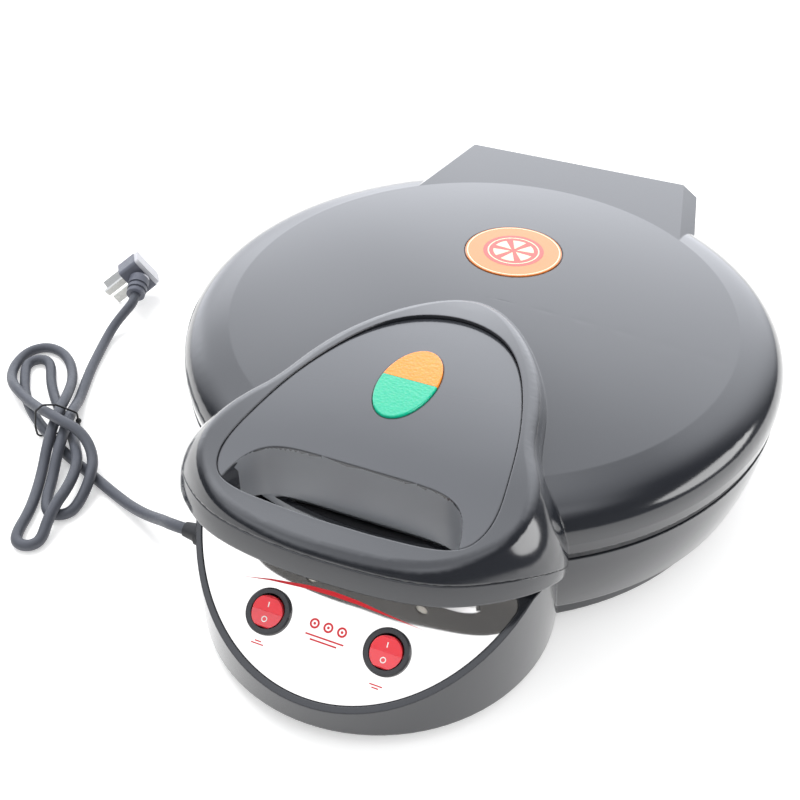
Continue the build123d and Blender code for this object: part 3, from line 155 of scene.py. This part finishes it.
# Camera: found from the round seam, the badge, the rockers and the cord in the picture
camera = {
    "place": (178.85, -527.31, 481.89),
    "yaw": 23.548,
    "pitch": 39.235,
    "roll": -0.231,
    "lens": 53.455,
    "sensor": 36,
}
yaw, pitch, roll = (math.radians(camera[key]) for key in ("yaw", "pitch", "roll"))
lookAlong = Vector((-math.sin(yaw) * math.cos(pitch), math.cos(yaw) * math.cos(pitch), -math.sin(pitch)))
levelRight = Vector((math.cos(yaw), math.sin(yaw), 0))
levelUp = levelRight.cross(lookAlong)
cameraRight = levelRight * math.cos(roll) + levelUp * math.sin(roll)
cameraUp = levelUp * math.cos(roll) - levelRight * math.sin(roll)
cameraData = bpy.data.cameras.new("camera")
cameraData.lens = camera["lens"]
cameraData.sensor_width = camera["sensor"]
cameraObject = newObject("camera", cameraData)
turned = Matrix((cameraRight, cameraUp, -lookAlong)).transposed().to_4x4()
cameraObject.matrix_world = Matrix.Translation(Vector(camera["place"]) * mm) @ turned
bpy.context.scene.camera = cameraObject
print("camera set")


# Studio: white to the camera; glossy surfaces see a glow behind and above the cooker, darkness in front
studio = {
    "dark": 0.12,
    "back": {"towards": (-0.4, 0.8, 0.45), "edge": (0.35, 0.95), "light": 2.3},
    "overhead": {"towards": (-0.22, -0.3, 0.93), "edge": (0.55, 0.9), "light": 1.65},
    "cloud": {"scale": 1.6, "detail": 1.0, "edge": (0.35, 0.6), "span": (0.72, 1.1)},
    "tint": (1.05, 1.08, 1.15),
}
world = bpy.data.worlds.new("studio")
bpy.context.scene.world = world
world.use_nodes = True
tree = world.node_tree
direction = addNode(tree, "ShaderNodeTexCoord").outputs["Generated"]


def addGlow(facts, base):
    sockets = {0: direction, 1: facts["towards"]}
    facing = addNode(tree, "ShaderNodeVectorMath", sockets, operation="DOT_PRODUCT").outputs["Value"]
    span = (base, base + facts["light"])
    return addMapRange(tree, facing, facts["edge"], span, interpolation_type="SMOOTHSTEP")


glow = addMath(tree, "ADD", addGlow(studio["back"], studio["dark"]), addGlow(studio["overhead"], 0.0))
cloud = studio["cloud"]
noise = addNoise(tree, direction, cloud["scale"], cloud["detail"])
patches = addMapRange(tree, noise, cloud["edge"], cloud["span"], interpolation_type="SMOOTHSTEP")
glossyLight = addMath(tree, "MULTIPLY", glow, patches)
tinted = [addMath(tree, "MULTIPLY", glossyLight, share) for share in studio["tint"]]
glossyColour = addNode(tree, "ShaderNodeCombineColor", dict(zip(("Red", "Green", "Blue"), tinted)))
rays = addNode(tree, "ShaderNodeLightPath")
shown = addNode(tree, "ShaderNodeMix", {"Factor": rays.outputs["Is Glossy Ray"]}, data_type="RGBA")
colourSockets = {socket.name: socket for socket in shown.inputs if socket.type == "RGBA"}
colourSockets["A"].default_value = (1, 1, 1, 1)
tree.links.new(glossyColour.outputs[0], colourSockets["B"])
shownColour = [socket for socket in shown.outputs if socket.type == "RGBA"][0]
background = tree.nodes["Background"]
tree.links.new(shownColour, background.inputs["Color"])
background.inputs["Strength"].default_value = 1.0
bpy.context.scene.view_settings.view_transform = "Standard"
print("studio set")


# Lights: a softbox that no surface mirrors, and a window on the right that the lid and the handle mirror
lights = {
    "softbox": {"place": (-0.9, 0.5, 1.5), "target": (0, 0, 0.05), "size": (1.0, 1.0), "power": 20,
                "shape": "RECTANGLE", "mirrored": False},
    "sideWindow": {"place": (1.5, 0.3, 0.55), "target": (0.1, -0.05, 0.08), "size": (1.3, 0.55),
                   "power": 9.0, "shape": "ELLIPSE", "mirrored": True},
}
for name, facts in lights.items():
    light = bpy.data.lights.new(name, "AREA")
    light.shape = facts["shape"]
    light.size, light.size_y = facts["size"]
    light.energy = facts["power"]
    lightObject = newObject(name, light)
    lightObject.location = facts["place"]
    towards = Vector(facts["target"]) - Vector(facts["place"])
    lightObject.rotation_euler = towards.to_track_quat("-Z", "Y").to_euler()
    lightObject.visible_glossy = facts["mirrored"]


# Floor: white, a little below the feet, and a little bright of itself
floorFacts = {"reach": 3000, "drop": 0.0002, "colour": "F4F4F4", "roughness": 0.7, "glow": 0.35}
reach = floorFacts["reach"]
corners = [(-reach, -reach, 0), (reach, -reach, 0), (reach, reach, 0), (-reach, reach, 0)]
floorMesh = meshFrom("floor", corners, [(0, 1, 2, 3)])
floorGlow = {"Emission Color": (1, 1, 1, 1), "Emission Strength": floorFacts["glow"]}
floorMesh.materials.append(
    newMaterial("whiteFloor", floorFacts["colour"], floorFacts["roughness"], sockets=floorGlow)
)
floor = newObject("floor", floorMesh)
floor.location.z = -floorFacts["drop"]
print("lights and floor set")


# Materials and what they are on; noise is its size in mm, span the roughness over it, bump its height in mm
finishes = {
    "glossBlackPlastic": {
        "colour": "202227", "roughness": 0.14, "noise": 60, "span": (0.12, 0.2), "edge": 1.2,
        "sockets": {"IOR": 1.52, "Coat Weight": 0.6, "Coat Roughness": 0.1},
        "nodes": ("base_casing", "lid_casing", "handle_lower_shell"),
    },
    "glossBlackCover": {
        "colour": "33353A", "roughness": 0.16, "noise": 50, "span": (0.14, 0.24), "edge": 1.4,
        "sockets": {"IOR": 1.52, "Coat Weight": 0.6, "Coat Roughness": 0.12},
        "nodes": ("handle_cover_panel",),
    },
    # Painted reflection: a lighter grey for the finger well's front-facing walls, standing in for the
    # studio mirrored in black gloss
    "wellPaintedReflection": {"colour": "7A7D82", "roughness": 0.35, "edge": 1.4},
    "mattDarkPlastic": {
        "colour": "26272A", "roughness": 0.55, "noise": 4, "span": (0.45, 0.65), "bump": 0.05,
        "nodes": ("bottom_cover", "lid_ring", "lamp_holder", "hinge_guides", "cord_gland"),
    },
    "footRubber": {
        "colour": "1A1A1B", "roughness": 0.8, "noise": 2, "span": (0.7, 0.9), "bump": 0.05,
        "nodes": ("rubber_feet",),
    },
    "zincPlatedSteel": {
        "colour": "B9B9B6", "roughness": 0.3, "metallic": 1.0, "noise": 3, "span": (0.22, 0.4),
        "nodes": ("bottom_cover_screws", "lower_shield_nuts", "upper_shield_nuts", "lid_ring_screws",
                  "handle_screws", "hinge_bracket_screws", "hinge_pins", "hinge_clips", "plug_pins"),
    },
    "polishedSteel": {
        "colour": "F2EEE8", "roughness": 0.06, "metallic": 1.0, "nodes": ("control_plate",),
        "waves": {"size": 38, "height": 2.6, "detail": 1.0, "turn": 0.45, "stretch": (0.35, 1.0, 1.0)},
    },
    "bezelPlastic": {
        "colour": "2B2B2E", "roughness": 0.3, "noise": 3, "span": (0.25, 0.4), "edge": 0.5,
        "nodes": ("switch_body_left", "switch_body_right"),
    },
    "redTranslucentPlastic": {
        "colour": "EF424C", "roughness": 0.18,
        "sockets": {"IOR": 1.5, "Coat Weight": 0.5, "Subsurface Weight": 0.4, "Subsurface Scale": 0.003},
        "nodes": ("switch_button_left", "switch_button_right"),
    },
    "whitePrint": {"colour": "F7F2EE", "roughness": 0.4},
    "redPrint": {"colour": "D3212B", "roughness": 0.35},
    "nonStickCoat": {
        "colour": "2A2A2C", "roughness": 0.45, "metallic": 0.3, "noise": 1.2, "span": (0.35, 0.55),
        "bump": 0.03,
        "nodes": ("lower_baking_pan", "upper_baking_plate"),
    },
    "heaterTubeSteel": {
        "colour": "6B6660", "roughness": 0.45, "metallic": 1.0, "noise": 3, "span": (0.35, 0.6),
        "nodes": ("lower_heating_element", "upper_heating_element"),
    },
    "plainSheetSteel": {
        "colour": "B4B3AF", "roughness": 0.35, "metallic": 1.0, "noise": 12, "span": (0.25, 0.45),
        "nodes": ("lower_heat_shield", "upper_heat_shield", "hinge_carrier", "hinge_bracket_left",
                  "hinge_bracket_right"),
    },
    "steatiteCeramic": {
        "colour": "D9D3C4", "roughness": 0.5,
        "nodes": ("lower_thermostat", "upper_thermostat", "terminal_block"),
    },
    "brass": {
        "colour": "C9A45A", "roughness": 0.3, "metallic": 1.0, "noise": 3, "span": (0.22, 0.4),
        "nodes": ("thermal_fuse",),
    },
    "lampGlass": {
        "colour": "F3E9DC", "roughness": 0.05, "sockets": {"Transmission Weight": 0.9},
        "nodes": ("neon_lamps",),
    },
    "cordJacket": {"colour": "4A4D55", "roughness": 0.5, "noise": 1.5, "span": (0.42, 0.6), "bump": 0.02},
    "plugPlastic": {
        "colour": "5A5D68", "roughness": 0.45, "noise": 2, "span": (0.38, 0.55), "bump": 0.02,
        "nodes": ("plug_body",),
    },
    "plugCapPlastic": {"colour": "B9BAC0", "roughness": 0.45, "noise": 2, "span": (0.38, 0.55)},
    "tieCoat": {"colour": "18181A", "roughness": 0.5, "nodes": ("wire_tie",)},
    "badgeOrange": {
        "colour": "DE7C2C", "roughness": 0.25, "sockets": {"Coat Weight": 0.5}, "nodes": ("badge_disc",),
    },
    "badgeRed": {"colour": "C8321F", "roughness": 0.25, "sockets": {"Coat Weight": 0.5}},
    "badgeCream": {"colour": "F6DDB8", "roughness": 0.3, "sockets": {"Coat Weight": 0.5}},
}
# Both lenses also glow faintly in their own colour: a painted glow, not lamp light
lenses = {"grain": 1.8, "depth": 0.2, "glow": 0.12}
for name, colour, node in (("amberLens", "EE8A06", "amber_lens"), ("greenLens", "04B08A", "green_lens")):
    finishes[name] = {
        "colour": colour, "roughness": 0.16, "nodes": (node,), "grain": (lenses["grain"], lenses["depth"]),
        "sockets": {"IOR": 1.45, "Coat Weight": 0.3, "Coat Roughness": 0.06, "Subsurface Weight": 0.3,
                    "Subsurface Scale": 0.002, "Emission Color": toLinear(colour),
                    "Emission Strength": lenses["glow"]},
    }
materials = {}
for name, facts in finishes.items():
    material = newMaterial(
        name, facts["colour"], facts["roughness"], facts.get("metallic", 0.0), facts.get("sockets")
    )
    if "noise" in facts:
        roughen(material, facts["noise"], facts["span"], facts.get("bump", 0.0))
    if "waves" in facts:
        addWaves(material, facts["waves"])
    if "grain" in facts:
        addGrain(material, *facts["grain"])
    if "edge" in facts:
        softenEdges(material, facts["edge"])
    paint(material, *facts.get("nodes", ()))
    materials[name] = material


# Finger well: its upright walls facing the front get a lighter grey, a painted reflection of the bright
# studio in the black gloss
well = {
    "nodes": ("handle_cover_panel", "lid_casing", "handle_lower_shell"),
    "halfWidth": 61,
    "depth": (-186, -159),
    "height": (70, 108),
    "slope": 0.3,
}
for name in well["nodes"]:
    mesh = nodes[name].data
    mesh.materials.append(materials["wellPaintedReflection"])
    for polygon in mesh.polygons:
        x, y, z = (c / mm for c in polygon.center)
        upright = polygon.normal.y < -well["slope"] and abs(polygon.normal.z) < well["slope"]
        across = abs(x) < well["halfWidth"] and well["depth"][0] < y < well["depth"][1]
        if upright and across and well["height"][0] < z < well["height"][1]:
            polygon.material_index = 1


# Plug: its outer cap is the lighter colour
plug = {
    "centre": Vector((-0.2743, 0.0476, 0.0189)),
    "back": Vector((0.62, 0.58, 0.53)).normalized(),
    "reach": 0.00705,
}
plugMesh = nodes["plug_body"].data
plugMesh.materials.append(materials["plugCapPlastic"])
for polygon in plugMesh.polygons:
    if (polygon.center - plug["centre"]).dot(plug["back"]) > plug["reach"]:
        polygon.material_index = 1

for node in nodes.values():
    node.data.shade_smooth()
    node.data.set_sharp_from_angle(angle=sharpFrom)
print("materials done")


# Cord: one line from the gland through the hank to the plug, in metres
bodyRun = [
    (-0.103, -0.1655, 0.0315), (-0.1115, -0.1655, 0.0315), (-0.1235, -0.1575, 0.0225),
    (-0.1395, -0.1495, 0.0125), (-0.1565, -0.142, 0.006), (-0.1715, -0.1355, 0.0035),
    (-0.18375, -0.13075, 0.0034),
]
hankRun = [
    (-0.196, -0.126, 0.0033), (-0.2195, -0.1175, 0.0036), (-0.233, -0.111, 0.0046),
    (-0.2495, -0.102, 0.005), (-0.266, -0.091, 0.004), (-0.2805, -0.0775, 0.0033),
    (-0.2905, -0.064, 0.0033), (-0.2965, -0.055, 0.0033), (-0.2965, -0.0488, 0.0033),
    (-0.2922, -0.0445, 0.0033), (-0.2862, -0.0445, 0.0033), (-0.28, -0.05, 0.0033),
    (-0.2715, -0.062, 0.0033), (-0.2605, -0.0735, 0.0033), (-0.25, -0.083, 0.0042),
    (-0.2395, -0.0915, 0.005), (-0.229, -0.1, 0.005), (-0.2195, -0.1085, 0.0066),
    (-0.2125, -0.116, 0.0112), (-0.2045, -0.125, 0.011), (-0.199, -0.1365, 0.011),
    (-0.1955, -0.149, 0.011), (-0.194, -0.161, 0.011), (-0.1925, -0.172, 0.0075),
    (-0.19, -0.1815, 0.0039), (-0.192, -0.1872, 0.0033), (-0.1975, -0.1897, 0.0033),
    (-0.203, -0.188, 0.0033), (-0.2067, -0.181, 0.0033), (-0.21, -0.1665, 0.0033),
    (-0.217, -0.1495, 0.0033), (-0.2245, -0.1335, 0.0046), (-0.2295, -0.1205, 0.0108),
    (-0.2345, -0.108, 0.0128), (-0.2402, -0.094, 0.0128), (-0.2475, -0.0745, 0.0105),
    (-0.2585, -0.0555, 0.0048), (-0.271, -0.0405, 0.0033), (-0.2845, -0.032, 0.0033),
    (-0.297, -0.0315, 0.0033), (-0.305, -0.04, 0.0033), (-0.305, -0.054, 0.0034),
    (-0.298, -0.0685, 0.0048), (-0.285, -0.081, 0.0099), (-0.2685, -0.0905, 0.012),
    (-0.2515, -0.0985, 0.0152), (-0.238, -0.1045, 0.0202), (-0.227, -0.1075, 0.0202),
    (-0.2155, -0.1085, 0.019), (-0.205, -0.1125, 0.015), (-0.1965, -0.1205, 0.0113),
    (-0.1905, -0.1315, 0.0103), (-0.188, -0.1435, 0.006), (-0.1875, -0.1545, 0.0033),
    (-0.19, -0.1599, 0.0033), (-0.1953, -0.1627, 0.0033), (-0.2012, -0.1618, 0.0033),
    (-0.2075, -0.1535, 0.0033), (-0.2135, -0.1395, 0.0042), (-0.219, -0.1255, 0.0104),
    (-0.2245, -0.1115, 0.0126), (-0.23, -0.0985, 0.0127), (-0.2343, -0.0885, 0.011),
    (-0.2385, -0.08, 0.0075),
]
plugRun = [
    (-0.2427, -0.0715, 0.004), (-0.249, -0.0565, 0.0033), (-0.2555, -0.04, 0.0033),
    (-0.2606, -0.0238, 0.0033), (-0.2645, -0.0096, 0.0039), (-0.2657, 0.0025, 0.007),
    (-0.2632, 0.013, 0.012), (-0.2604, 0.021, 0.0163), (-0.2627, 0.0274, 0.0178),
]
cordFacts = {"radius": 0.00325, "length": 1.059, "roundSteps": 6, "longSteps": 8}
cordCurve = bpy.data.curves.new("powerCord", "CURVE")
cordCurve.dimensions = "3D"
cordCurve.bevel_depth = cordFacts["radius"]
cordCurve.bevel_resolution = cordFacts["roundSteps"]
cordCurve.resolution_u = cordFacts["longSteps"]
cordCurve.use_fill_caps = True
route = bodyRun + hankRun + plugRun
spline = cordCurve.splines.new("NURBS")
spline.points.add(len(route) - 1)
for point, place in zip(spline.points, route):
    point.co = (*place, 1)
spline.order_u = 3
spline.use_endpoint_u = True
powerCord = newObject("powerCord", cordCurve)
cordCurve.materials.append(materials["cordJacket"])
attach(powerCord, "base")
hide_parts("power_cord_body_run", "power_cord_hank", "power_cord_plug_run")
print("cord done")


# Flat prints: outlines in millimetres on a plane, laid just above the surface
class Sheet:
    def __init__(self, origin, across, up):
        self.origin = Vector(origin)
        self.across = Vector(across).normalized()
        self.up = Vector(up).normalized()
        self.out = self.across.cross(self.up)

    def at(self, x, y, height):
        return self.origin + self.across * x + self.up * y + self.out * height


def printed(name, sheet, shapes, height, finish, body):
    points, faces = [], []
    for shape in shapes:
        faces.append(tuple(range(len(points), len(points) + len(shape))))
        points.extend(tuple(sheet.at(x, y, height)) for x, y in shape)
    obj = newObject(name, meshFrom(name, points, faces))
    obj.data.materials.append(materials[finish])
    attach(obj, body)


def onCircle(centreX, centreY, radius, angle):
    return (centreX + radius * math.cos(angle), centreY + radius * math.sin(angle))


def ringShape(centreX, centreY, inner, outer, steps=48):
    quads = []
    for i in range(steps):
        a, b = (math.radians(360.0 * (i + j) / steps) for j in (0, 1))
        turns = ((inner, a), (outer, a), (outer, b), (inner, b))
        quads.append([onCircle(centreX, centreY, radius, angle) for radius, angle in turns])
    return quads


def discShape(centreX, centreY, radius, steps=64):
    return [[onCircle(centreX, centreY, radius, 2 * math.pi * i / steps) for i in range(steps)]]


def barShape(centreX, centreY, width, height):
    w, h = width / 2, height / 2
    signs = ((-1, -1), (1, -1), (1, 1), (-1, 1))
    return [[(centreX + w * right, centreY + h * above) for right, above in signs]]


# Control plate prints: a red sweep along the top, three rings over two lines, a small mark at each switch
plate = {"origin": (0, -205, 40.1), "tilt": 33, "lift": 0.04}
slope = math.radians(plate["tilt"])
plateSheet = Sheet(plate["origin"], (1, 0, 0), (0, math.cos(slope), math.sin(slope)))
sweep = {
    "line": [(-52, 12.2), (-36, 15.2), (-17, 17.4), (-3.6, 18.1), (10, 17.8), (23.7, 16.7), (48.3, 15.0)],
    "width": 2.2,
    "taper": 1.3,
    "steps": 48,
}


# The two edge points of the sweep at a share of its length
def sweepEdges(share):
    line = sweep["line"]
    place = share * (len(line) - 1)
    k = min(int(place), len(line) - 2)
    x, y = (line[k][i] * (1 - (place - k)) + line[k + 1][i] * (place - k) for i in (0, 1))
    half = sweep["width"] * max(0.0, math.sin(math.pi * share)) ** sweep["taper"] / 2
    return (x, y - half), (x, y + half)


sweepQuads = []
for i in range(sweep["steps"]):
    (lowA, highA), (lowB, highB) = (sweepEdges((i + j) / sweep["steps"]) for j in (0, 1))
    sweepQuads.append([lowA, lowB, highB, highA])
printed("redSweep", plateSheet, sweepQuads, plate["lift"], "redPrint", "base")

motif = {"places": (-7.2, 0.0, 7.2), "height": 2.2, "ring": (1.5, 2.5), "dot": 0.7,
         "lines": ((-3.4, 20.0), (-5.4, 14.0)), "lineWidth": 0.8}
motifShapes = []
for x in motif["places"]:
    motifShapes += ringShape(x, motif["height"], *motif["ring"])
    motifShapes += discShape(x, motif["height"], motif["dot"], 24)
for y, length in motif["lines"]:
    motifShapes += barShape(0, y, length, motif["lineWidth"])
printed("plateMotif", plateSheet, motifShapes, plate["lift"], "redPrint", "base")

switchMark = {"across": 31.2, "height": -15.6, "long": 6.5, "short": 3.4, "gap": 1.3, "width": 0.6}
marks = []
for side in (-1, 1):
    x, y = side * switchMark["across"], switchMark["height"]
    marks += barShape(x, y, switchMark["long"], switchMark["width"])
    marks += barShape(x, y - side * switchMark["gap"], switchMark["short"], switchMark["width"])
printed("switchMarks", plateSheet, marks, plate["lift"], "redPrint", "base")


# Buttons: a white line and a white ring on the two slopes of each
button = {"pivot": (31.2, -204.12, 39.4792), "tip": 8, "proud": 3.3, "rise": 1.6 / 7.9, "markAt": 3.7,
          "line": (0.55, 2.6), "ring": (1.0, 1.5), "lift": 0.04}
turn = slope + math.radians(button["tip"])
upward = Vector((0, math.cos(turn), math.sin(turn)))
outward = Vector((0, -math.sin(turn), math.cos(turn)))
for word, side in (("left", -1), ("right", 1)):
    x, y, z = button["pivot"]
    middle = Vector((side * x, y, z)) + outward * button["proud"]
    high = Sheet(middle, (1, 0, 0), upward + outward * button["rise"])
    low = Sheet(middle, (1, 0, 0), upward - outward * button["rise"])
    line = barShape(0, button["markAt"], *button["line"])
    ring = ringShape(0, -button["markAt"], *button["ring"], 32)
    printed(word + "ButtonLine", high, line, button["lift"], "whitePrint", word + "_button")
    printed(word + "ButtonRing", low, ring, button["lift"], "whitePrint", word + "_button")


# Badge: orange ring, red middle and a plain cut-pie motif
badge = {"place": (0, 53, 103.236), "tilt": 2.085, "red": 18.0, "rim": (27.0, 27.7),
         "inner": (14.6, 15.4), "slices": 6, "tip": 2.0, "reach": 12.0, "spread": range(-20, 21, 5),
         "lift": 0.24, "motifLift": 0.28}
badgeTilt = math.radians(badge["tilt"])
badgeSheet = Sheet(badge["place"], (1, 0, 0), (0, math.cos(badgeTilt), -math.sin(badgeTilt)))
printed("badgeRed", badgeSheet, discShape(0, 0, badge["red"]), badge["lift"], "badgeRed", "lid")
printed("badgeRim", badgeSheet, ringShape(0, 0, *badge["rim"], 96), badge["lift"], "badgeCream", "lid")
slices = []
for i in range(badge["slices"]):
    angle = math.radians(360 / badge["slices"] * (i + 0.5))
    edge = [onCircle(0, 0, badge["reach"], angle + math.radians(d)) for d in badge["spread"]]
    slices.append([onCircle(0, 0, badge["tip"], angle)] + edge)
printed("badgeMotif", badgeSheet, slices, badge["motifLift"], "badgeCream", "lid")
innerRing = ringShape(0, 0, *badge["inner"], 96)
printed("badgeInnerRing", badgeSheet, innerRing, badge["motifLift"], "badgeCream", "lid")
print("prints done")
